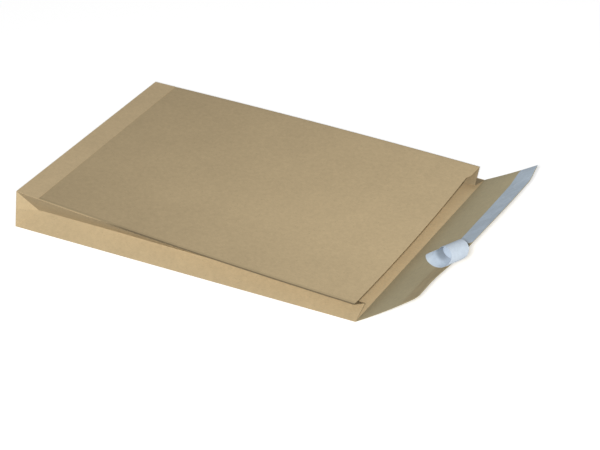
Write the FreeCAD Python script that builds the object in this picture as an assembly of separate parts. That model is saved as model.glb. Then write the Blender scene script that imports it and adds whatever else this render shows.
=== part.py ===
# Open gusseted envelope in brown kraft paper, lying on its address side with its flap raised.
# X runs from the closed bottom end to the flap, Y from the near long side to the far one, Z is up.

import FreeCAD, Part
import math
import os

Vector = FreeCAD.Vector

# Sheet and pocket
paper = 0.22
pocket_length = 353.0
pocket_width = 250.0
gusset_width = 40.0

# How far the pocket stands open, from its block corner to its throat
near_bottom_height = 39.6
near_crease_height = 38.2
near_throat_height = 18.3
near_sag = 2.0
far_bottom_height = 15.2
far_crease_height = 15.3
far_throat_height = 13.1
far_sag = -1.6
fold_height_share = 0.44
corner_crease_run = 20.0
bottom_lean = 5.2
sleeve_spans = 4

# Bottom band, folded over the back panel and glued
band_width_near = 23.0
band_width_far = 22.4
band_overlap = 0.9

# Throat, where the back panel is trimmed short of the flap fold
throat_cut_near = 0.6
throat_cut_middle = 1.4
throat_cut_far = 7.3
gusset_tab_reach = 2.6
gusset_tab_width = 21.0

# Closure flap
flap_depth = 70.2
flap_inset = 8.5
flap_corner_radius = 5.0
flap_lift_angle = 30.0
flap_bow_angle = 6.5

# Adhesive strip along the flap's free edge
adhesive_thickness = 0.1
adhesive_width = 18.0
adhesive_edge_margin = 2.2
adhesive_end_margin = 2.5

# Release liner, still stuck along the far part and peeled from the near end
liner_thickness = 0.12
liner_width = 22.0
liner_edge_margin = 0.5
liner_end_margin = 0.8
peel_distance = 108.0

# Curl of the peeled liner: its centre, measured on the flap, its axis and its winding
curl_radius = 10.2
curl_clearance = 0.7
curl_along = 67.0
curl_lift = 5.6
curl_yaw = 7.5
curl_tilt = 17.0
curl_start_angle = -115.0
curl_end_angle = 445.0
curl_tightening = 1.4
curl_drift = 24.0
lead_reach = 22.0
lead_rise = 9.0
lead_hook = 0.5
curl_stations = 24
lead_stations = 6

half_gusset = gusset_width / 2


def between(start, end, share):
    return start + (end - start) * share


# Heights of the pocket's two long sides

def side_height(x, crease, throat, sag):
    share = (x - corner_crease_run) / (pocket_length - corner_crease_run)
    return between(crease, throat, share) - 4 * sag * share * (1 - share)


def near_height(x):
    return side_height(x, near_crease_height, near_throat_height, near_sag)


def far_height(x):
    return side_height(x, far_crease_height, far_throat_height, far_sag)


# A gusset half keeps its width, so the fold moves in as the side closes

def fold_height(height):
    return fold_height_share * height


def fold_inset(height):
    return math.sqrt(half_gusset ** 2 - fold_height(height) ** 2)


# Cross-section of the pocket, moved in from the outside by a gap, with mitred corners

def inset_outline(points, gap):
    moved = []
    for index, point in enumerate(points):
        before = points[index - 1]
        after = points[(index + 1) % len(points)]
        arriving = (point - before).normalize()
        leaving = (after - point).normalize()
        inward_a = Vector(0, -arriving.z, arriving.y)
        inward_b = Vector(0, -leaving.z, leaving.y)
        bisector = inward_a + inward_b
        moved.append(point + bisector * (gap / (1 + inward_a.dot(inward_b))))
    return moved


def section_points(x, gap):
    near = near_height(x)
    far = far_height(x)
    outline = [
        Vector(x, 0, 0),
        Vector(x, pocket_width, 0),
        Vector(x, pocket_width - fold_inset(far), fold_height(far)),
        Vector(x, pocket_width, far),
        Vector(x, 0, near),
        Vector(x, fold_inset(near), fold_height(near)),
    ]
    return inset_outline(outline, gap)


def closed_wire(points):
    return Part.makePolygon(points + [points[0]])


def facet(*points):
    return Part.Face(closed_wire(list(points)))


def solid_of(faces):
    shell = Part.makeShell(faces)
    solid = Part.makeSolid(shell)
    if solid.Volume < 0:
        solid.reverse()
    return solid


def sewn_solid(faces):
    shell = Part.Shell(faces)
    shell.sewShape()
    solid = Part.makeSolid(shell)
    if solid.Volume < 0:
        solid.reverse()
    return solid


def smooth_rail(points):
    curve = Part.BSplineCurve()
    curve.interpolate(points)
    return curve.toShape()


def ruled_face(edge_a, edge_b):
    same_direction = 1
    return Part.makeRuledSurface(edge_a, edge_b, same_direction)


# Long part of the pocket, between the corner creases and the throat, on six rails along its folds

def sleeve(gap, overrun):
    sections = []
    for step in range(sleeve_spans + 1):
        x = between(corner_crease_run, pocket_length, step / sleeve_spans)
        sections.append(section_points(x, gap))
    rails = [smooth_rail(list(points)) for points in zip(*sections)]
    start = sections[0]
    end = sections[-1]
    start_side = Part.makeLine(start[0], start[1])
    end_side = Part.makeLine(end[1], end[0])
    address_panel = Part.Face(Part.Wire([start_side, rails[1], end_side, rails[0]]))
    panels = [ruled_face(rails[index - 1], rails[index]) for index in range(2, len(rails))]
    panels.append(ruled_face(rails[-1], rails[0]))
    body = sewn_solid(panels + [address_panel, facet(*start), facet(*end)])
    if overrun > 0:
        body = body.fuse(facet(*end).extrude(Vector(overrun, 0, 0)))
    return body


# Block end: the near corner stands square, and towards the far corner the end wall folds inwards

def block_end(gap):
    low_near, low_far, fold_far, top_far, top_near, fold_near = section_points(corner_crease_run, gap)
    far_tuck = math.sqrt((half_gusset ** 2 - (far_bottom_height / 2) ** 2) / 2)
    end_low_near = Vector(gap, gap, gap)
    end_low_far = Vector(gap, pocket_width - gap, gap)
    end_top_near = Vector(bottom_lean + gap, gap, near_bottom_height - gap)
    end_top_far = Vector(gap, pocket_width - gap, far_bottom_height - gap)
    end_mid_near = (end_low_near + end_top_near) * 0.5
    tuck = Vector(far_tuck + gap, pocket_width - far_tuck - gap, far_bottom_height / 2)
    faces = [
        facet(end_low_near, end_low_far, low_far, low_near),
        facet(end_low_near, low_near, fold_near),
        facet(end_low_near, fold_near, end_mid_near),
        facet(end_mid_near, fold_near, end_top_near),
        facet(end_top_near, fold_near, top_near),
        facet(end_low_near, end_mid_near, tuck),
        facet(end_low_near, tuck, end_low_far),
        facet(end_mid_near, end_top_near, tuck),
        facet(end_top_near, end_top_far, tuck),
        facet(end_low_far, tuck, low_far),
        facet(tuck, fold_far, low_far),
        facet(end_top_far, top_far, tuck),
        facet(tuck, top_far, fold_far),
        facet(end_top_near, top_near, top_far),
        facet(end_top_near, top_far, end_top_far),
        facet(low_near, low_far, fold_far, top_far, top_near, fold_near),
    ]
    return solid_of(faces)


# Bottom band: a strip of the sheet turned over the block end onto the back panel

def bottom_band():
    def strip(y, start, end):
        low = Vector(0, 0, -paper * band_overlap)
        high = Vector(0, 0, paper)
        return closed_wire([start + low, end + low, end + high, start + high])

    near_start = Vector(bottom_lean, 0, near_bottom_height)
    near_end_x = bottom_lean + band_width_near
    near_end = Vector(near_end_x, 0, near_height(near_end_x))
    far_start = Vector(0, pocket_width, far_bottom_height)
    far_end = Vector(band_width_far, pocket_width, far_height(band_width_far))
    wires = [strip(0, near_start, near_end), strip(pocket_width, far_start, far_end)]
    return Part.makeLoft(wires, True, True)


# Space that the trimmed throat leaves above the gusset folds, with the far gusset's tab left proud

def throat_trim():
    floor = fold_height(near_throat_height) + paper
    top = near_bottom_height
    beyond = pocket_length + flap_depth
    tab_y = pocket_width - gusset_tab_width
    near_point = Vector(pocket_length - throat_cut_near, -paper, floor)
    middle_point = Vector(pocket_length - throat_cut_middle, pocket_width / 2, floor)
    far_point = Vector(pocket_length - throat_cut_far, tab_y, floor)
    step_point = Vector(far_point.x + gusset_tab_reach, tab_y, floor)
    tab_end = Vector(step_point.x, pocket_width + paper, floor)
    edges = [
        Part.Arc(near_point, middle_point, far_point).toShape(),
        Part.makeLine(far_point, step_point),
        Part.makeLine(step_point, tab_end),
        Part.makeLine(tab_end, Vector(beyond, tab_end.y, floor)),
        Part.makeLine(Vector(beyond, tab_end.y, floor), Vector(beyond, near_point.y, floor)),
        Part.makeLine(Vector(beyond, near_point.y, floor), near_point),
    ]
    return Part.Face(Part.Wire(edges)).extrude(Vector(0, 0, top))


# The flap's slope is an arc that starts at the fold, so it bows up a little towards its free edge

flap_bow_radius = flap_depth / math.radians(flap_bow_angle)


def flap_point(depth, lift):
    """Point on the near side of the flap, at a depth from the fold and a height over its inner face."""
    turn = depth / flap_bow_radius
    start = math.radians(flap_lift_angle)
    angle = start + turn
    x = pocket_length + flap_bow_radius * (math.sin(angle) - math.sin(start))
    z = flap_bow_radius * (math.cos(start) - math.cos(angle))
    return Vector(x, 0, z) + Vector(-math.sin(angle), 0, math.cos(angle)) * lift


def slope_layer(from_depth, to_depth, low, high):
    """Layer on the flap over the whole pocket width, between two depths and two heights."""
    middle = (from_depth + to_depth) / 2
    under = Part.Arc(flap_point(from_depth, low), flap_point(middle, low), flap_point(to_depth, low))
    over = Part.Arc(flap_point(to_depth, high), flap_point(middle, high), flap_point(from_depth, high))
    edges = [
        under.toShape(),
        Part.makeLine(flap_point(to_depth, low), flap_point(to_depth, high)),
        over.toShape(),
        Part.makeLine(flap_point(from_depth, high), flap_point(from_depth, low)),
    ]
    return Part.Face(Part.Wire(edges)).extrude(Vector(0, pocket_width, 0))


def flap_plan(margin, corner_radius):
    """Upright block over the flap's tapered outline, moved in by a margin."""
    edge = flap_point(flap_depth - margin, 0)
    start_x = pocket_length - paper
    outline = [
        Vector(start_x, margin, -paper),
        Vector(edge.x, flap_inset + margin, -paper),
        Vector(edge.x, pocket_width - flap_inset - margin, -paper),
        Vector(start_x, pocket_width - margin, -paper),
    ]
    block = Part.Face(closed_wire(outline)).extrude(Vector(0, 0, 3 * flap_depth))
    if corner_radius > 0:
        corners = [line for line in block.Edges if upright_at(line, edge.x)]
        block = block.makeFillet(corner_radius, corners)
    return block


def upright_at(line, x):
    ends = [corner.Point for corner in line.Vertexes]
    tolerance = paper / 100
    return len(ends) == 2 and all(abs(point.x - x) < tolerance for point in ends) \
        and abs(ends[0].y - ends[1].y) < tolerance


def closure_flap():
    return slope_layer(0, flap_depth, 0, paper).common(flap_plan(0, flap_corner_radius))


def kraft_envelope():
    outside = block_end(0).fuse(sleeve(0, 0))
    hollow = block_end(paper).fuse(sleeve(paper, flap_depth))
    pocket = outside.cut(hollow).cut(throat_trim())
    sheet = pocket.fuse(bottom_band()).fuse(closure_flap())
    return sheet.removeSplitter()


# Adhesive strip, a thin film on the flap's inner face

def adhesive_strip():
    outer_depth = flap_depth - adhesive_edge_margin
    film = slope_layer(outer_depth - adhesive_width, outer_depth, paper, paper + adhesive_thickness)
    return film.common(flap_plan(adhesive_end_margin, 0))


# Release liner: one ribbon, flat on the adhesive, then lifting and winding on itself

liner_lift = paper + adhesive_thickness
liner_mid_depth = flap_depth - liner_edge_margin - liner_width / 2
liner_bow = liner_width ** 2 / (8 * flap_bow_radius)


def flap_directions(depth):
    angle = math.radians(flap_lift_angle) + depth / flap_bow_radius
    return Vector(math.cos(angle), 0, math.sin(angle)), Vector(-math.sin(angle), 0, math.cos(angle))


def liner_on_flap():
    outer_depth = flap_depth - liner_edge_margin
    layer = slope_layer(outer_depth - liner_width, outer_depth, liner_lift, liner_lift + liner_thickness)
    beyond_peel = Part.makeBox(flap_depth, pocket_width, 2 * flap_depth, Vector(pocket_length, peel_distance, 0))
    return layer.common(flap_plan(liner_end_margin, 0)).common(beyond_peel)


def curl_frame():
    """Centre and axis of the winding, with its upward and outward directions."""
    slope, normal = flap_directions(flap_depth)
    depth = flap_depth + curl_radius + curl_clearance - curl_tightening
    centre = flap_point(flap_depth, 0) + slope * (depth - flap_depth) + normal * curl_lift
    centre.y = curl_along
    yaw = math.radians(curl_yaw)
    tilt = math.radians(curl_tilt)
    flat = Vector(0, -math.cos(yaw), 0) - slope * math.sin(yaw)
    axis = flat * math.cos(tilt) + normal * math.sin(tilt)
    upward = (normal - axis * normal.dot(axis)).normalize()
    outward = upward.cross(axis)
    if outward.dot(slope) < 0:
        outward = outward * -1
    return centre, axis, upward, outward


def curl_station(angle_degrees):
    """Centre of the ribbon on the winding, with its heading, its width direction and its outer normal."""
    centre, axis, upward, outward = curl_frame()
    angle = math.radians(angle_degrees)
    share = (angle_degrees - curl_start_angle) / (curl_end_angle - curl_start_angle)
    radius = curl_radius - curl_tightening * share
    drift = curl_drift * share ** 2 * (3 - 2 * share)
    radial = upward * math.cos(angle) + outward * math.sin(angle)
    heading = outward * math.cos(angle) - upward * math.sin(angle)
    return centre + axis * drift + radial * radius, heading, axis * -1, radial


def frame_rotation(heading, across, normal):
    return FreeCAD.Rotation(heading, across, normal, "XYZ")


def lead_station(share):
    """The ribbon between the flap and the winding, on a cubic curve, turning smoothly as it goes."""
    slope, normal = flap_directions(liner_mid_depth)
    start = flap_point(liner_mid_depth, liner_lift + liner_bow)
    start.y = peel_distance
    end, heading, across, radial = curl_station(curl_start_angle)
    first_pull = start - Vector(0, lead_reach, 0) + normal * lead_rise
    last_pull = end - heading * lead_reach * lead_hook
    rest = 1 - share
    point = start * rest ** 3 + first_pull * (3 * rest ** 2 * share) \
        + last_pull * (3 * rest * share ** 2) + end * share ** 3
    flat = frame_rotation(Vector(0, -1, 0), slope * -1, normal * -1)
    wound = frame_rotation(heading, across, radial)
    turned = flat.slerp(wound, share ** 2 * (3 - 2 * share))
    return point, turned.multVec(Vector(0, 1, 0)), turned.multVec(Vector(0, 0, 1))


def ribbon(stations, width, thickness):
    """Thin solid whose corners follow four smooth rails through the stations."""
    rails = []
    ends = []
    for side, lift in ((-0.5, 0), (0.5, 0), (0.5, -1), (-0.5, -1)):
        points = [centre + across * (side * width) + normal * (lift * thickness)
                  for centre, across, normal in stations]
        rails.append(smooth_rail(points))
        ends.append((points[0], points[-1]))
    faces = [ruled_face(rails[index - 1], rails[index]) for index in range(4)]
    for end in (0, 1):
        first, second, third, fourth = [pair[end] for pair in ends]
        faces.append(ruled_face(Part.makeLine(first, second), Part.makeLine(fourth, third)))
    return sewn_solid(faces)


def release_liner():
    stations = [lead_station(step / lead_stations) for step in range(lead_stations)]
    for step in range(curl_stations + 1):
        angle = between(curl_start_angle, curl_end_angle, step / curl_stations)
        point, heading, across, radial = curl_station(angle)
        stations.append((point, across, radial))
    return liner_on_flap().fuse(ribbon(stations, liner_width, liner_thickness))


pieces = {
    "kraft_envelope": kraft_envelope(),
    "adhesive_strip": adhesive_strip(),
    "release_liner": release_liner(),
}

# The origin is the middle of the address panel, on the surface that it rests on
to_middle = Vector(-pocket_length / 2, -pocket_width / 2, 0)

os.makedirs("parts", exist_ok=True)
for name, piece in pieces.items():
    placed = piece.translated(to_middle)
    placed.exportStep("parts/" + name + ".step")
    print(name, placed.isValid(), len(placed.Solids), round(placed.Volume, 1), placed.BoundBox)
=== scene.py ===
# Looks of an open gusseted kraft envelope: the folded sheet, its adhesive and its curled release liner.

import math

import bpy
from mathutils import Matrix, Quaternion, Vector


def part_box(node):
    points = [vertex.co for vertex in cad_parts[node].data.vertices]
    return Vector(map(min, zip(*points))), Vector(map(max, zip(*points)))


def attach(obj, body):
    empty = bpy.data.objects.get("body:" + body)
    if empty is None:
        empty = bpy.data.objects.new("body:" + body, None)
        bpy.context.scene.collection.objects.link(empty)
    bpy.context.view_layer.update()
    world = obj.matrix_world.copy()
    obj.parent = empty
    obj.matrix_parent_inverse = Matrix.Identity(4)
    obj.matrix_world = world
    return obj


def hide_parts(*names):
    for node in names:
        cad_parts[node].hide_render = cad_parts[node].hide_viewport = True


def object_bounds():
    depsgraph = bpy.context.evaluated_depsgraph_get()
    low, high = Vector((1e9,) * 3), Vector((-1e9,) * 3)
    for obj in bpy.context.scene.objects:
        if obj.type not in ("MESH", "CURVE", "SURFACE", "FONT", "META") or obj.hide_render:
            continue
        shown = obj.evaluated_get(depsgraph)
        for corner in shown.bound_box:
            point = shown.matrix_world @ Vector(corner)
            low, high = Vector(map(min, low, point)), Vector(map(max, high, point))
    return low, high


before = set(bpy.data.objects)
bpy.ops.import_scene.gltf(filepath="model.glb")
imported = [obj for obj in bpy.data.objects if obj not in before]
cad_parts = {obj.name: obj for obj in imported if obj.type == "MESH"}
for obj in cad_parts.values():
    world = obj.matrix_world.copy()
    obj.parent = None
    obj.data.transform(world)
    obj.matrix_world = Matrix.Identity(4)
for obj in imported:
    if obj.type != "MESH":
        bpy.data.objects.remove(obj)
cad_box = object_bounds()

# Pocket, from the frame
pocket_low, pocket_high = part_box("kraft_envelope")
bottom_x = pocket_low.x
near_y = pocket_low.y
far_y = pocket_high.y
pocket_width = far_y - near_y
fold_x = -bottom_x
pocket_length = fold_x - bottom_x

# Sheet
paper = 0.00022
fold_radius = 0.0006
fold_segments = 3
sharp_fold = math.radians(12)
smooth_below = math.radians(40)
merge_distance = 0.00001
inward = -1.0
centred = 0.0

# How far the pocket stands open
half_gusset = 0.020
near_bottom_height = 0.0396
near_crease_height = 0.0382
near_throat_height = 0.0183
near_sag = 0.0020
far_bottom_height = 0.0152
far_crease_height = 0.0153
far_throat_height = 0.0131
far_sag = -0.0016
fold_height_share = 0.44
crease_run = 0.020
bottom_lean = 0.0052

# Throat of the back panel
throat_cut_near = 0.0006
throat_cut_middle = 0.0014
throat_cut_far = 0.0073
gusset_tab_reach = 0.0026
gusset_tab_width = 0.0210
tab_step = 0.0003

# Bottom band
band_width_near = 0.0230
band_width_far = 0.0224
band_paper_share = 0.9

# Flap
flap_depth = 0.0702
flap_inset = 0.0075
flap_corner_radius = 0.005
flap_lift = math.radians(30.0)
flap_bow = math.radians(6.5)
flap_bow_radius = flap_depth / flap_bow
flap_sag = 0.0056
flap_sag_start = 0.030
flap_sag_run = 0.060
flap_sag_near_share = 0.70
flap_sag_deepest = 0.195
flap_tip_share = 0.27
flap_tip_run = 0.026

# Painted light and shade of the panels, as tones against the sheet's own colour: below 1 is painted shade,
# above 1 painted light
back_painted_shade_bottom = 0.88
back_painted_light_throat = 1.10
side_lower_painted_shade = 0.88
side_upper_painted_shade = 0.72
corner_lower_painted_shade = 0.91
corner_upper_painted_shade = 0.99
crease_lower_painted_shade = 0.89
crease_upper_painted_shade = 0.72
inner_painted_shade_bottom = 0.90
inner_painted_light_throat = 1.18
near_edge_painted_shade = 0.90
near_edge_shade_share = 0.4
far_painted_shade = 0.86
far_shade_start = 0.7
flap_painted_shade = 0.96
away_from_fold = 1.0

# Numbers of cells in the paper's grids
cells_along = 60
cells_across = 56
cells_gusset = 8
cells_crease = 6
cells_tuck = 14
cells_flap = 30
cells_strip = 60
cells_film = 10
cells_stuck = 12
cells_curl = 20


def between(start, end, share):
    return start + (end - start) * share


def smooth_step(share):
    share = min(max(share, 0.0), 1.0)
    return share * share * (3 - 2 * share)


# Modelling helpers

def deselect_all():
    for item in bpy.context.selected_objects:
        item.select_set(False)


def activate(*pieces):
    deselect_all()
    for piece in pieces:
        piece.select_set(True)
    bpy.context.view_layer.objects.active = pieces[0]


def constant(level):
    """A tone, a distance or a cut that is the same all over a grid."""
    def same(row, column):
        return level
    return same


even_tone = constant(1.0)
no_fold = constant(away_from_fold)
no_cut = constant(0.0)


def paper_grid(name, rows, columns, place, tone=even_tone, from_fold=no_fold):
    """Grid with its points, tones of painted light and shade, and distances from a fold set from its row
    and column shares.
    """
    deselect_all()
    bpy.ops.mesh.primitive_grid_add(x_subdivisions=rows, y_subdivisions=columns, size=1)
    piece = bpy.context.object
    piece.name = name
    mesh = piece.data
    shares = []
    for vertex in mesh.vertices:
        row = round((vertex.co.x + 0.5) * rows) / rows
        column = round((vertex.co.y + 0.5) * columns) / columns
        shares.append((row, column))
        vertex.co = place(row, column)
    # The tone attribute holds the painted light and shade of each panel and of the curl.
    painted_shading = mesh.attributes.new("tone", "FLOAT", "CORNER")
    distances = mesh.attributes.new("from_fold", "FLOAT", "CORNER")
    for loop in mesh.loops:
        row, column = shares[loop.vertex_index]
        painted_shading.data[loop.index].value = tone(row, column)
        distances.data[loop.index].value = from_fold(row, column)
    return piece


def join(name, pieces):
    activate(*pieces)
    bpy.ops.object.join()
    joined = bpy.context.object
    joined.name = name
    joined.data.name = name
    return joined


def in_edit_mode(piece):
    activate(piece)
    bpy.ops.object.mode_set(mode="EDIT")
    bpy.ops.mesh.select_all(action="SELECT")


def merge_points(piece):
    in_edit_mode(piece)
    bpy.ops.mesh.remove_doubles(threshold=merge_distance)
    bpy.ops.mesh.dissolve_degenerate(threshold=merge_distance)
    bpy.ops.mesh.select_all(action="SELECT")
    bpy.ops.mesh.normals_make_consistent(inside=False)
    bpy.ops.object.mode_set(mode="OBJECT")


def face_side(piece, point, side):
    """Turn all faces over where the one nearest to a point looks away from a side."""
    nearest = min(piece.data.polygons, key=lambda face: (face.center - point).length)
    if nearest.normal.dot(side) < 0:
        in_edit_mode(piece)
        bpy.ops.mesh.flip_normals()
        bpy.ops.object.mode_set(mode="OBJECT")


def round_folds(piece):
    in_edit_mode(piece)
    bpy.ops.mesh.select_all(action="DESELECT")
    bpy.ops.mesh.select_mode(type="EDGE")
    bpy.ops.mesh.edges_select_sharp(sharpness=sharp_fold)
    bpy.ops.mesh.bevel(offset=fold_radius, segments=fold_segments, affect="EDGES", clamp_overlap=True)
    bpy.ops.object.mode_set(mode="OBJECT")


def thicken(piece, thickness, offset):
    wall = piece.modifiers.new("Thickness", "SOLIDIFY")
    wall.thickness = thickness
    wall.offset = offset
    wall.use_even_offset = True
    wall.use_quality_normals = True
    activate(piece)
    bpy.ops.object.modifier_apply(modifier=wall.name)


def keep_within(piece, low, high):
    """Hold the inner layer of the sharp folds inside the frame's box."""
    for vertex in piece.data.vertices:
        for axis in range(3):
            vertex.co[axis] = min(max(vertex.co[axis], low[axis]), high[axis])


def smooth(piece):
    activate(piece)
    bpy.ops.object.shade_smooth_by_angle(angle=smooth_below)


# Pocket's section

def side_height(x, crease_highlight, throat, sag):
    share = (x - bottom_x - crease_run) / (pocket_length - crease_run)
    return between(crease_highlight, throat, share) - 4 * sag * share * (1 - share)


def near_height(x):
    return side_height(x, near_crease_height, near_throat_height, near_sag)


def far_height(x):
    return side_height(x, far_crease_height, far_throat_height, far_sag)


def fold_height(height):
    return fold_height_share * height


def fold_inset(height):
    return math.sqrt(half_gusset ** 2 - fold_height(height) ** 2)


def near_fold(x):
    height = near_height(x)
    return Vector((x, near_y + fold_inset(height), fold_height(height)))


def far_fold(x):
    height = far_height(x)
    return Vector((x, far_y - fold_inset(height), fold_height(height)))


def near_top(x):
    return Vector((x, near_y, near_height(x)))


def far_top(x):
    return Vector((x, far_y, far_height(x)))


# Throat line of the back panel, as a distance behind the flap's fold

def throat_cut(y):
    tab_y = far_y - gusset_tab_width
    if y > tab_y + tab_step:
        return throat_cut_far - gusset_tab_reach
    share = (min(y, tab_y) - near_y) / (tab_y - near_y)
    near_part = throat_cut_near * (1 - share) * (1 - 2 * share)
    middle_part = throat_cut_middle * 4 * share * (1 - share)
    far_part = throat_cut_far * share * (2 * share - 1)
    return near_part + middle_part + far_part


def sleeve_panel(name, columns, start_side, end_side, cut, tone=even_tone, from_fold=no_fold):
    """Panel between two of the pocket's folds, from the corner creases to the throat."""
    def place(row, column):
        start_x = bottom_x + crease_run
        straight = between(start_side(start_x), end_side(start_x), column)
        end_x = fold_x - cut(straight.y, column)
        x = between(start_x, end_x, row)
        return between(start_side(x), end_side(x), column)
    return paper_grid(name, cells_along, columns, place, tone, from_fold)


def pocket_panels():
    def near_low(x):
        return Vector((x, near_y, 0))

    def far_low(x):
        return Vector((x, far_y, 0))

    def back_cut(y, column):
        return throat_cut(y)

    def near_cut(y, column):
        return throat_cut(near_y) * column

    def far_cut(y, column):
        return throat_cut(far_y) * column

    # Painted shade on the back panel: darker at the bottom end and towards its near side, painted light at
    # the throat.
    def back_painted_shade(row, column):
        along = between(back_painted_shade_bottom, back_painted_light_throat, row)
        return along * between(near_edge_painted_shade, 1.0, smooth_step(column / near_edge_shade_share))

    # Painted shade on the address panel's inside at the bottom end and towards the far side, painted light
    # at the throat.
    def inner_painted_shade(row, column):
        along = between(inner_painted_shade_bottom, inner_painted_light_throat, smooth_step(row))
        towards_far = smooth_step((column - far_shade_start) / (1 - far_shade_start))
        return along * between(1.0, far_painted_shade, towards_far)

    def over_edge(row, column):
        return column * pocket_width

    def under_edge(row, column):
        return (column - 1) * half_gusset

    # Painted shade of the gusset halves.
    near_lower_painted_shade = constant(side_lower_painted_shade)
    near_upper_painted_shade = constant(side_upper_painted_shade)
    far_side_painted_shade = constant(far_painted_shade * side_upper_painted_shade)
    return [
        sleeve_panel("address_panel", cells_across, near_low, far_low, no_cut, inner_painted_shade),
        sleeve_panel("near_gusset_lower", cells_gusset, near_low, near_fold, no_cut, near_lower_painted_shade),
        sleeve_panel("near_gusset_upper", cells_gusset, near_fold, near_top, near_cut,
                     near_upper_painted_shade, under_edge),
        sleeve_panel("back_panel", cells_across, near_top, far_top, back_cut, back_painted_shade, over_edge),
        sleeve_panel("far_gusset_upper", cells_gusset, far_fold, far_top, far_cut, far_side_painted_shade),
        sleeve_panel("far_gusset_lower", cells_gusset, far_low, far_fold, no_cut, far_side_painted_shade),
    ]


# Block end

def flat_patch(name, rows, columns, start_a, start_b, end_a, end_b, level=1.0):
    def place(row, column):
        return between(between(start_a, start_b, column), between(end_a, end_b, column), row)

    return paper_grid(name, rows, columns, place, constant(level))


def fan(name, rows, columns, pole, edge_a, edge_b, level=1.0):
    return flat_patch(name, rows, columns, pole, pole, edge_a, edge_b, level)


def block_end():
    crease_x = bottom_x + crease_run
    far_tuck = math.sqrt((half_gusset ** 2 - (far_bottom_height / 2) ** 2) / 2)
    low_near = Vector((crease_x, near_y, 0))
    low_far = Vector((crease_x, far_y, 0))
    fold_near = near_fold(crease_x)
    fold_far = far_fold(crease_x)
    top_near = near_top(crease_x)
    top_far = far_top(crease_x)
    end_low_near = Vector((bottom_x, near_y, 0))
    end_low_far = Vector((bottom_x, far_y, 0))
    end_top_near = Vector((bottom_x + bottom_lean, near_y, near_bottom_height))
    end_top_far = Vector((bottom_x, far_y, far_bottom_height))
    end_mid_near = (end_low_near + end_top_near) / 2
    tuck = Vector((bottom_x + far_tuck, far_y - far_tuck, far_bottom_height / 2))
    # The crease and corner facets of the block end take painted shade as their level.
    return [
        flat_patch("end_base", cells_crease, cells_across, end_low_near, end_low_far, low_near, low_far),
        fan("near_crease_lower", cells_crease, cells_gusset, end_low_near, low_near, fold_near,
            crease_lower_painted_shade),
        fan("near_corner_lower", cells_crease, cells_gusset, fold_near, end_low_near, end_mid_near,
            corner_lower_painted_shade),
        fan("near_corner_upper", cells_crease, cells_gusset, fold_near, end_mid_near, end_top_near,
            corner_upper_painted_shade),
        fan("near_crease_upper", cells_crease, cells_gusset, end_top_near, fold_near, top_near,
            crease_upper_painted_shade),
        fan("end_wall_low_corner", cells_tuck, cells_gusset, tuck, end_low_near, end_mid_near),
        fan("end_wall_high_corner", cells_tuck, cells_gusset, tuck, end_mid_near, end_top_near),
        fan("end_wall_lower", cells_tuck, cells_across, tuck, end_low_near, end_low_far),
        fan("end_wall_upper", cells_tuck, cells_across, tuck, end_top_near, end_top_far),
        fan("far_crease_low", cells_tuck, cells_crease, tuck, end_low_far, low_far),
        fan("far_tuck_lower", cells_tuck, cells_gusset, tuck, low_far, fold_far),
        fan("far_tuck_upper", cells_tuck, cells_gusset, tuck, fold_far, top_far),
        fan("far_crease_high", cells_tuck, cells_crease, tuck, end_top_far, top_far),
        flat_patch("end_top", cells_crease, cells_across, end_top_near, end_top_far, top_near, top_far),
    ]


# Flap

def flap_drop(depth, y):
    """How far the flap's free part has sunk between its near part and its far tip."""
    along = y - near_y
    reached = flap_sag_start + flap_sag_run
    first = smooth_step((along - flap_sag_start) / flap_sag_run) * flap_sag_near_share
    second = smooth_step((along - reached) / (flap_sag_deepest - reached)) * (1 - flap_sag_near_share)
    tip = between(flap_tip_share, 1.0, smooth_step((far_y - flap_inset - y) / flap_tip_run))
    return flap_sag * (depth / flap_depth) ** 2 * (first + second) * tip


def flap_point(depth, y, lift=0.0):
    """Point of the flap at a depth from its fold, raised off its outer face by lift."""
    angle = flap_lift + depth / flap_bow_radius
    x = fold_x + flap_bow_radius * (math.sin(angle) - math.sin(flap_lift))
    z = flap_bow_radius * (math.cos(flap_lift) - math.cos(angle))
    return Vector((x, y, z)) + Vector((-math.sin(angle), 0, math.cos(angle))) * (lift - flap_drop(depth, y))


def flap_side(depth, corner):
    """Distance from the pocket's side to the flap's slanted edge at a depth."""
    rounded = depth - (flap_depth - corner)
    slanted = flap_inset * depth / flap_depth
    if rounded <= 0 or corner == 0:
        return slanted
    return slanted + corner - math.sqrt(max(corner ** 2 - rounded ** 2, 0))


def closure_flap():
    def place(row, column):
        depth = flap_depth * math.sin(row * math.pi / 2)
        side = flap_side(depth, flap_corner_radius)
        return flap_point(depth, between(near_y + side, far_y - side, column))
    # The flap takes a painted shade as its tone.
    return paper_grid("closure_flap", cells_flap, cells_across, place, constant(flap_painted_shade))


# Bottom band, turned over onto the back panel

def bottom_band():
    start_near = Vector((bottom_x + bottom_lean, near_y, near_bottom_height))
    start_far = Vector((bottom_x, far_y, far_bottom_height))
    end_near = near_top(start_near.x + band_width_near)
    end_far = far_top(start_far.x + band_width_far)
    lift = Vector((0, 0, paper))
    return flat_patch("bottom_band", cells_crease, cells_across,
                      start_near + lift, start_far + lift, end_near + lift, end_far + lift)


# Release liner

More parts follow.
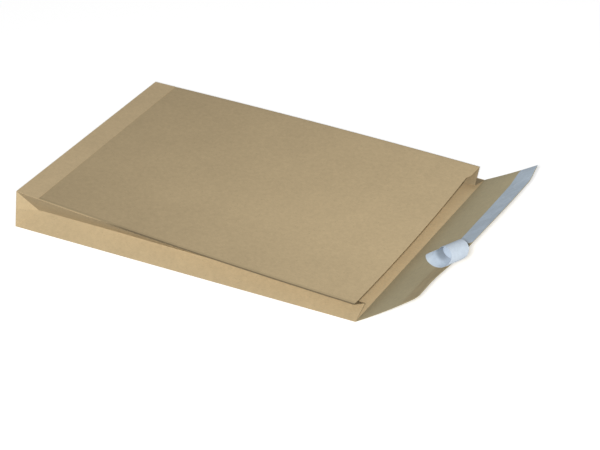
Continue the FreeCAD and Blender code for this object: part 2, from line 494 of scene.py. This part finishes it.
adhesive_film = 0.0001
adhesive_width = 0.018
adhesive_edge_margin = 0.0022
adhesive_end_margin = 0.0025
liner_film = 0.00012
liner_width = 0.022
liner_edge_margin = 0.0005
liner_end_margin = 0.0008
peel_y = near_y + 0.108
curl_radius = 0.0091
curl_clearance = 0.0004
curl_y = near_y + 0.0705
curl_lift = 0.0056
curl_yaw = math.radians(7.5)
curl_tilt = math.radians(17.0)
curl_start = math.radians(-115.0)
curl_end = math.radians(362.0)
curl_tightening = 0.0014
tightening_end = math.radians(445.0)
curl_drift = 0.019
drift_start = math.radians(60.0)
drift_end = math.radians(380.0)
lead_reach = 0.022
lead_rise = 0.009
lead_hook = 0.5
liner_lift = paper + adhesive_film
liner_mid_depth = flap_depth - liner_edge_margin - liner_width / 2
liner_bow = liner_width ** 2 / (8 * flap_bow_radius)
# Painted shade on the curl: a light one in its rising trough and a deeper one in its hollow.
trough_start = 0.60
trough_run = 0.12
trough_shade = 0.10
hollow_start = 0.48
hollow_run = 0.25
hollow_turn = 0.70
hollow_shade = 0.42
curl_stations = 90
lead_stations = 30


def strip_on_flap(name, from_depth, to_depth, from_y, margin, lift, rows, columns):
    def place(row, column):
        depth = between(from_depth, to_depth, row)
        side = flap_side(depth, 0) + margin
        start = max(near_y + side, from_y)
        return flap_point(depth, between(start, far_y - side, column), lift)
    return paper_grid(name, rows, columns, place)


def flap_directions(depth):
    angle = flap_lift + depth / flap_bow_radius
    return Vector((math.cos(angle), 0, math.sin(angle))), Vector((-math.sin(angle), 0, math.cos(angle)))


def curl_frame():
    slope, normal = flap_directions(flap_depth)
    reach = curl_radius + curl_clearance - curl_tightening
    edge = flap_point(flap_depth, near_y)
    edge.y = curl_y
    centre = edge + slope * reach + normal * curl_lift
    flat = Vector((0, -math.cos(curl_yaw), 0)) - slope * math.sin(curl_yaw)
    axis = flat * math.cos(curl_tilt) + normal * math.sin(curl_tilt)
    upward = (normal - axis * normal.dot(axis)).normalized()
    outward = upward.cross(axis)
    if outward.dot(slope) < 0:
        outward = -outward
    return centre, axis, upward, outward


def curl_station(angle):
    centre, axis, upward, outward = curl_frame()
    share = (angle - curl_start) / (tightening_end - curl_start)
    radius = curl_radius - curl_tightening * share
    drift = curl_drift * smooth_step((angle - drift_start) / (drift_end - drift_start))
    radial = upward * math.cos(angle) + outward * math.sin(angle)
    heading = outward * math.cos(angle) - upward * math.sin(angle)
    return centre + axis * drift + radial * radius, heading, -axis, radial


def frame_rotation(heading, across, normal):
    return Matrix((heading, across, normal)).transposed().to_quaternion()


def lead_station(share):
    slope, normal = flap_directions(liner_mid_depth)
    start = flap_point(liner_mid_depth, peel_y, liner_lift + liner_bow)
    end, heading, across, radial = curl_station(curl_start)
    first_pull = start - Vector((0, lead_reach, 0)) + normal * lead_rise
    last_pull = end - heading * (lead_reach * lead_hook)
    rest = 1 - share
    point = start * rest ** 3 + first_pull * (3 * rest ** 2 * share)
    point += last_pull * (3 * rest * share ** 2) + end * share ** 3
    flat = frame_rotation(Vector((0, -1, 0)), -slope, -normal)
    wound = frame_rotation(heading, across, radial)
    turned = flat.slerp(wound, smooth_step(share))
    return point, turned @ Vector((0, 1, 0)), turned @ Vector((0, 0, 1))


def peeled_liner():
    stations = [lead_station(step / lead_stations) for step in range(lead_stations)]
    for step in range(curl_stations + 1):
        angle = between(curl_start, curl_end, step / curl_stations)
        point, heading, across, radial = curl_station(angle)
        stations.append((point, across, radial))
    last = len(stations) - 1

    def place(row, column):
        point, across, normal = stations[round(row * last)]
        return point + across * (liner_width * (column - 0.5)) - normal * (liner_film / 2)

    # Painted shade in the curl's trough and hollow.
    def tone(row, column):
        turn = (row * last - lead_stations) / curl_stations
        risen = smooth_step((turn - trough_start) / trough_run)
        inner = smooth_step((column - hollow_start) / hollow_run)
        deep = inner * smooth_step((turn - hollow_turn) / trough_run)
        return 1 - risen * trough_shade - deep * hollow_shade
    return paper_grid("peeled_liner", last, cells_curl, place, tone)


# Materials

sheet_colour = (0.61, 0.472, 0.276)
flap_colour = (0.62, 0.535, 0.338)
band_colour = (0.66, 0.508, 0.300)
adhesive_colour = (0.56, 0.465, 0.285)
adhesive_streaks = (0.46, 0.375, 0.225)
stuck_colour = (0.60, 0.71, 0.83)
stuck_streaks = (0.53, 0.63, 0.73)
curl_colour = (0.66, 0.75, 0.84)
curl_streaks = (0.60, 0.68, 0.78)
crease_highlight_colour = (0.95, 0.97, 1.0)
specular_level = 0.25
kraft_roughness = 0.72
flap_tint_run = 0.0005

# Grain of the papers: sizes of its noise, and how much each adds
fibre_scale = 1500
fibre_stretch = (0.3, 1, 1)
mottle_scale = 240
cloud_scale = 28
speck_scale = 900
speck_stretch = (0.6, 1, 1)
speck_range = (0.70, 0.76)
speck_gain = -0.18
fine_detail = 4
streak_detail = 3
broad_detail = 2
speck_detail = 1
grain_base = 0.71
fibre_share = 0.26
mottle_share = 0.20
cloud_share = 0.12
mottle_height = 1.5
bump_strength = 0.6
grain_depth = 0.00004

# Streaks and creases of the films; the creases' paleness is partly the crease marks and partly painted
# highlight
streak_scale = 90
streak_range = (0.42, 0.62)
streak_share = 0.6
crease_scale = 26
crease_width = 0.005
crease_depth = 0.0004

# Painted highlight, shadow and shade beside the near fold, as bands by their distance from it: where each
# starts, is full, ends and is gone
fold_highlight_band = (-0.0002, 0.0001, 0.0008, 0.0015)
shadow_line_band = (-0.0002, 0.0001, 0.0014, 0.0022)
shade_stripe_band = (0.0016, 0.0024, 0.0034, 0.0046)
gap_shadow_band = (-0.0030, -0.0016, -0.0002, 0.0001)
fold_highlight_gain = 0.30
shadow_line_gain = -0.55
shade_stripe_gain = -0.14
gap_shadow_gain = -0.62

# Where the painted highlight on the fold gives way to the painted shadow line, along the pocket
shadow_line_start_x = -0.100
shadow_line_full_x = -0.050


def link_value(links, source, target):
    """Feed a socket, or set it where the source is a plain number."""
    if isinstance(source, (int, float)):
        target.default_value = source
    else:
        links.new(source, target)


def maths(tree, operation, first, second, third=0.0):
    node = tree.nodes.new("ShaderNodeMath")
    node.operation = operation
    for source, target in zip((first, second, third), node.inputs):
        link_value(tree.links, source, target)
    return node.outputs[0]


def scaled_mask(tree, mask, amount):
    """A factor that is 1 off the mask and 1 + amount on it."""
    return maths(tree, "MULTIPLY_ADD", mask, amount, 1.0)


def ramp_value(tree, value, low, high, to_low=0.0, to_high=1.0):
    node = tree.nodes.new("ShaderNodeMapRange")
    node.interpolation_type = "SMOOTHSTEP"
    node.inputs["From Min"].default_value = low
    node.inputs["From Max"].default_value = high
    node.inputs["To Min"].default_value = to_low
    node.inputs["To Max"].default_value = to_high
    tree.links.new(value, node.inputs["Value"])
    return node.outputs["Result"]


def band_mask(tree, value, band):
    """A mask that is 1 inside a band of the value and fades out on both sides."""
    starts, full, ends, gone = band
    rising = ramp_value(tree, value, starts, full)
    return maths(tree, "MULTIPLY", rising, ramp_value(tree, value, ends, gone, 1, 0))


def noise(tree, vector, scale, detail, stretch=(1, 1, 1)):
    mapping = tree.nodes.new("ShaderNodeMapping")
    mapping.inputs["Scale"].default_value = stretch
    tree.links.new(vector, mapping.inputs["Vector"])
    node = tree.nodes.new("ShaderNodeTexNoise")
    node.inputs["Scale"].default_value = scale
    node.inputs["Detail"].default_value = detail
    tree.links.new(mapping.outputs["Vector"], node.inputs["Vector"])
    return node.outputs[0]


def blend(tree, factor, first, second, kind="MIX"):
    node = tree.nodes.new("ShaderNodeMix")
    node.data_type = "RGBA"
    node.blend_type = kind
    link_value(tree.links, factor, node.inputs["Factor"])
    for source, target in ((first, node.inputs[6]), (second, node.inputs[7])):
        if isinstance(source, tuple):
            target.default_value = (*source, 1)
        else:
            tree.links.new(source, target)
    return node.outputs[2]


def paper_grain():
    """Shared grain of the papers: fibres, clouds, specks and the height that they make."""
    tree = bpy.data.node_groups.new("paper_grain", "ShaderNodeTree")
    tree.interface.new_socket(name="Vector", in_out="INPUT", socket_type="NodeSocketVector")
    for name in ("Tone", "Specks", "Height"):
        tree.interface.new_socket(name=name, in_out="OUTPUT", socket_type="NodeSocketFloat")
    entry = tree.nodes.new("NodeGroupInput").outputs["Vector"]
    leaving = tree.nodes.new("NodeGroupOutput")
    fibres = noise(tree, entry, fibre_scale, fine_detail, fibre_stretch)
    mottle = noise(tree, entry, mottle_scale, fine_detail)
    clouds = noise(tree, entry, cloud_scale, broad_detail)
    specks = noise(tree, entry, speck_scale, speck_detail, speck_stretch)
    specks = ramp_value(tree, specks, *speck_range)
    tone = maths(tree, "MULTIPLY_ADD", fibres, fibre_share, grain_base)
    tone = maths(tree, "MULTIPLY_ADD", mottle, mottle_share, tone)
    tone = maths(tree, "MULTIPLY_ADD", clouds, cloud_share, tone)
    height = maths(tree, "ADD", fibres, maths(tree, "MULTIPLY", mottle, mottle_height))
    tree.links.new(tone, leaving.inputs["Tone"])
    tree.links.new(specks, leaving.inputs["Specks"])
    tree.links.new(height, leaving.inputs["Height"])
    return tree


grain_group = paper_grain()


def start_material(name, roughness):
    material = bpy.data.materials.new(name)
    material.use_nodes = True
    tree = material.node_tree
    shader = tree.nodes["Principled BSDF"]
    shader.inputs["Roughness"].default_value = roughness
    shader.inputs["Specular IOR Level"].default_value = specular_level
    place = tree.nodes.new("ShaderNodeTexCoord").outputs["Object"]
    grain = tree.nodes.new("ShaderNodeGroup")
    grain.node_tree = grain_group
    tree.links.new(place, grain.inputs["Vector"])
    return material, tree, shader, place, grain


def add_bump(tree, shader, height, distance):
    bump = tree.nodes.new("ShaderNodeBump")
    bump.inputs["Strength"].default_value = bump_strength
    bump.inputs["Distance"].default_value = distance
    tree.links.new(height, bump.inputs["Height"])
    tree.links.new(bump.outputs["Normal"], shader.inputs["Normal"])


def attribute(tree, name):
    node = tree.nodes.new("ShaderNodeAttribute")
    node.attribute_name = name
    return node.outputs["Fac"]


def add_colour(tree, shader, tint, level):
    """Feed the shader a tint that is darkened or lightened by a level."""
    shade = tree.nodes.new("ShaderNodeCombineColor")
    for channel in shade.inputs:
        tree.links.new(level, channel)
    tree.links.new(blend(tree, 1.0, tint, shade.outputs[0], "MULTIPLY"), shader.inputs["Base Color"])


def kraft_material(name, colour):
    """Brown kraft: grain, dark specks, panel tones of painted light and shade, and along the near fold a
    painted highlight or a painted shadow line, a painted shade stripe and a painted shadow in the gap.
    """
    material, tree, shader, place, grain = start_material(name, kraft_roughness)
    axes = tree.nodes.new("ShaderNodeSeparateXYZ")
    tree.links.new(place, axes.inputs[0])
    along = axes.outputs["X"]
    from_fold = attribute(tree, "from_fold")
    # Painted highlight on the near fold towards the bottom end; painted shadow line along it towards the
    # throat, painted shade stripe beside it and painted shadow in the gap under the back panel's edge.
    highlight_part = ramp_value(tree, along, shadow_line_start_x, shadow_line_full_x, 1, 0)
    shadow_part = ramp_value(tree, along, shadow_line_start_x, shadow_line_full_x)
    fold_highlight = maths(tree, "MULTIPLY", band_mask(tree, from_fold, fold_highlight_band), highlight_part)
    shadow_line = maths(tree, "MULTIPLY", band_mask(tree, from_fold, shadow_line_band), shadow_part)
    shade_stripe = band_mask(tree, from_fold, shade_stripe_band)
    gap_shadow = maths(tree, "MULTIPLY", band_mask(tree, from_fold, gap_shadow_band), shadow_part)
    gains = ((fold_highlight, fold_highlight_gain), (shadow_line, shadow_line_gain), (shade_stripe, shade_stripe_gain), (gap_shadow, gap_shadow_gain),
             (grain.outputs["Specks"], speck_gain))
    # The mesh's tone brings each panel's painted light and shade.
    level = maths(tree, "MULTIPLY", grain.outputs["Tone"], attribute(tree, "tone"))
    for mask, amount in gains:
        level = maths(tree, "MULTIPLY", level, scaled_mask(tree, mask, amount))
    on_flap = ramp_value(tree, along, fold_x - flap_tint_run, fold_x + flap_tint_run)
    add_colour(tree, shader, blend(tree, on_flap, colour, flap_colour), level)
    add_bump(tree, shader, grain.outputs["Height"], grain_depth)
    return material


def film_material(name, colour, streak_colour, roughness, stretch, crease_highlight):
    """Film with streaks across it, pale creases that are partly crease marks and partly painted highlight,
    and a tone from the mesh, which on the curl is painted shade.
    """
    material, tree, shader, place, grain = start_material(name, roughness)
    streaks = ramp_value(tree, noise(tree, place, streak_scale, streak_detail, stretch), *streak_range)
    waves = maths(tree, "SUBTRACT", noise(tree, place, crease_scale, broad_detail, stretch), 0.5)
    folds = maths(tree, "ABSOLUTE", waves, 0.0)
    # Pale creases: partly crease marks, partly painted highlight.
    crease_highlights = ramp_value(tree, folds, 0.0, crease_width, crease_highlight, 0.0)
    tint = blend(tree, maths(tree, "MULTIPLY", streaks, streak_share), colour, streak_colour)
    tint = blend(tree, crease_highlights, tint, crease_highlight_colour)
    level = maths(tree, "MULTIPLY", grain.outputs["Tone"], attribute(tree, "tone"))
    add_colour(tree, shader, tint, level)
    add_bump(tree, shader, folds, crease_depth)
    return material


kraft = kraft_material("kraft_paper", sheet_colour)
band_kraft = kraft_material("band_kraft", band_colour)
adhesive = film_material("adhesive", adhesive_colour, adhesive_streaks,
                         roughness=0.35, stretch=(1, 0.25, 1), crease_highlight=0.15)
liner_stuck = film_material("liner_stuck", stuck_colour, stuck_streaks,
                            roughness=0.62, stretch=(0.6, 1, 0.6), crease_highlight=0.30)
liner_white = film_material("liner_white", curl_colour, curl_streaks,
                            roughness=0.5, stretch=(1, 1, 0.4), crease_highlight=0.05)


# Pieces

def build_envelope():
    sheet = join("kraft_envelope_sheet", pocket_panels() + block_end() + [closure_flap()])
    merge_points(sheet)
    face_side(sheet, Vector((0, 0, 0)), Vector((0, 0, -1)))
    round_folds(sheet)
    thicken(sheet, paper, inward)
    keep_within(sheet, *cad_box)
    smooth(sheet)
    sheet.data.materials.append(kraft)
    band = bottom_band()
    merge_points(band)
    face_side(band, Vector((bottom_x, 0, near_bottom_height)), Vector((0, 0, 1)))
    thicken(band, paper * band_paper_share, inward)
    band.data.materials.append(band_kraft)
    for piece in (sheet, band):
        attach(piece, "root")
        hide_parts("kraft_envelope")


def finish_film(piece, thickness, material):
    thicken(piece, thickness, centred)
    smooth(piece)
    piece.data.materials.append(material)


def build_adhesive():
    outer = flap_depth - adhesive_edge_margin
    film = strip_on_flap("adhesive_film", outer - adhesive_width, outer, near_y, adhesive_end_margin,
                         paper + adhesive_film / 2, cells_film, cells_strip)
    finish_film(film, adhesive_film, adhesive)
    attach(film, "root")
    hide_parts("adhesive_strip")


def build_liner():
    outer = flap_depth - liner_edge_margin
    stuck = strip_on_flap("release_liner_stuck", outer - liner_width, outer, peel_y, liner_end_margin,
                          liner_lift + liner_film / 2, cells_stuck, cells_strip)
    finish_film(stuck, liner_film, liner_stuck)
    curl = peeled_liner()
    finish_film(curl, liner_film, liner_white)
    for piece in (stuck, curl):
        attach(piece, "root")
        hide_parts("release_liner")


# Floor, light and camera

view_azimuth = math.radians(31.01)
view_elevation = math.radians(33.64)
view_roll = math.radians(-3.28)
view_distance = 3.2769
view_target = Vector((0.0585, -0.0126, 0.0))
sensor_width = 36.0
focal_pixels = 3613.0
frame_pixels = 600.0
view_reach = 50.0
floor_size = 12.0
floor_colour = (0.85, 0.85, 0.85, 1)
floor_roughness = 0.9
floor_glow = 0.50
white = (1, 1, 1, 1)
key_azimuth = math.radians(30.2)
key_elevation = math.radians(33.2)
key_distance = 2.8
key_power = 58.0
key_size = 0.16
room_light = 0.29
seen_light = 1.0


def direction(azimuth, elevation):
    flat = math.cos(elevation)
    return Vector((math.sin(azimuth) * flat, -math.cos(azimuth) * flat, math.sin(elevation)))


def build_camera():
    data = bpy.data.cameras.new("camera")
    data.sensor_width = sensor_width
    data.lens = sensor_width * focal_pixels / frame_pixels
    data.clip_end = view_reach
    camera = bpy.data.objects.new("camera", data)
    bpy.context.scene.collection.objects.link(camera)
    toward = direction(view_azimuth, view_elevation)
    camera.location = view_target + toward * view_distance
    facing = (-toward).to_track_quat("-Z", "Y")
    camera.rotation_mode = "QUATERNION"
    camera.rotation_quaternion = facing @ Quaternion((0, 0, 1), view_roll)
    bpy.context.scene.camera = camera


def build_floor():
    deselect_all()
    bpy.ops.mesh.primitive_plane_add(size=floor_size, location=(0, 0, 0))
    floor = bpy.context.object
    floor.name = "floor"
    material = bpy.data.materials.new("floor")
    material.use_nodes = True
    nodes = material.node_tree.nodes
    links = material.node_tree.links
    shader = nodes["Principled BSDF"]
    shader.inputs["Base Color"].default_value = floor_colour
    shader.inputs["Roughness"].default_value = floor_roughness
    shader.inputs["Emission Color"].default_value = white
    rays = nodes.new("ShaderNodeLightPath")
    lift = nodes.new("ShaderNodeMath")
    lift.operation = "MULTIPLY"
    lift.inputs[1].default_value = floor_glow
    links.new(rays.outputs["Is Camera Ray"], lift.inputs[0])
    links.new(lift.outputs[0], shader.inputs["Emission Strength"])
    floor.data.materials.append(material)


def build_light():
    data = bpy.data.lights.new("key", "AREA")
    data.energy = key_power
    data.size = key_size
    key = bpy.data.objects.new("key", data)
    bpy.context.scene.collection.objects.link(key)
    toward = direction(key_azimuth, key_elevation)
    key.location = toward * key_distance
    key.rotation_mode = "QUATERNION"
    key.rotation_quaternion = (-toward).to_track_quat("-Z", "Y")
    world = bpy.data.worlds.new("studio")
    world.use_nodes = True
    nodes = world.node_tree.nodes
    links = world.node_tree.links
    background = nodes["Background"]
    background.inputs["Color"].default_value = white
    rays = nodes.new("ShaderNodeLightPath")
    level = nodes.new("ShaderNodeMapRange")
    level.inputs["To Min"].default_value = room_light
    level.inputs["To Max"].default_value = seen_light
    links.new(rays.outputs["Is Camera Ray"], level.inputs["Value"])
    links.new(level.outputs["Result"], background.inputs["Strength"])
    bpy.context.scene.world = world


build_envelope()
build_adhesive()
build_liner()
build_camera()
build_floor()
build_light()

bpy.context.scene.view_settings.view_transform = "Standard"
